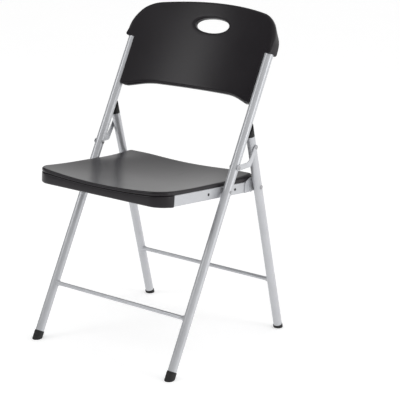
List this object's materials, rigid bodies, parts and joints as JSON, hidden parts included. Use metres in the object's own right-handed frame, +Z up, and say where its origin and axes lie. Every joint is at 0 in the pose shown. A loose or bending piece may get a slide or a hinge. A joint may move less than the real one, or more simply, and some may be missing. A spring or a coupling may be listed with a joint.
{
  "type": "folding chair",
  "caption": "Steel-tube folding chair with a dished plastic seat, a curved plastic backrest with a hand hole, and rear legs and bent links that fold it flat.",
  "frame": {"origin": "on the floor, at the middle of the chair's width and depth", "axes": "+Z up; the sitter faces -Y; +X is the chair's right side seen from the front, which is the sitter's left"},
  "size_m": [0.4682, 0.5004, 0.8227],
  "materials": {
    "silver_coat": "silver-grey powder coat, satin",
    "black_plastic": "charcoal blow-moulded polyethylene, fine grain, satin",
    "black_rubber": "black, satin",
    "zinc_steel": "zinc plated, dull",
    "black_screw": "black oxide"
  },
  "bodies": {
    "front_frame": {"left_upright": "silver_coat", "right_upright": "silver_coat", "front_brace": "silver_coat", "left_front_foot": "black_rubber", "right_front_foot": "black_rubber", "backrest_panel": "black_plastic", "backrest_screws": "black_screw", "seat_pivot_rivets": "zinc_steel", "link_rivets": "zinc_steel"},
    "seat": {"seat_panel": "black_plastic", "left_seat_rail": "silver_coat", "right_seat_rail": "silver_coat", "seat_front_tube": "silver_coat", "seat_rear_tube": "silver_coat", "left_rear_bracket": "silver_coat", "right_rear_bracket": "silver_coat", "seat_rail_screws": "black_screw", "seat_spacers": "zinc_steel", "leg_spacers": "zinc_steel", "leg_pivot_rivets": "zinc_steel"},
    "rear_legs": {"left_rear_leg": "silver_coat", "right_rear_leg": "silver_coat", "rear_brace": "silver_coat", "left_rear_foot": "black_rubber", "right_rear_foot": "black_rubber", "left_leg_cap": "black_rubber", "right_leg_cap": "black_rubber"},
    "left_link": {"left_link": "silver_coat", "left_link_stud": "zinc_steel"},
    "right_link": {"right_link": "silver_coat", "right_link_stud": "zinc_steel"}
  },
  "joints": [
    {"name": "seat_fold", "type": "hinge", "parent": "front_frame", "child": "seat", "pos_m": [0, -0.01418, 0.41421], "axis": [-1, 0, 0], "range_deg": [0, 100.62]},
    {"name": "rear_leg_fold", "type": "hinge", "parent": "seat", "child": "rear_legs", "pos_m": [0, 0.11144, 0.40011], "axis": [-1, 0, 0], "range_deg": [-58.62, 0]},
    {"name": "left_link_turn", "type": "hinge", "parent": "front_frame", "child": "left_link", "pos_m": [0, 0.01509, 0.4688], "axis": [-1, 0, 0], "range_deg": [0, 128.87]},
    {"name": "right_link_turn", "type": "hinge", "parent": "front_frame", "child": "right_link", "pos_m": [0, 0.01509, 0.4688], "axis": [-1, 0, 0], "range_deg": [0, 128.87]}
  ],
  "couplings": [
    {"joint": "rear_leg_fold", "follows": "seat_fold", "ratio": -0.58258},
    {"joint": "left_link_turn", "follows": "seat_fold", "ratio": 1.2807},
    {"joint": "right_link_turn", "follows": "seat_fold", "ratio": 1.2807}
  ]
}
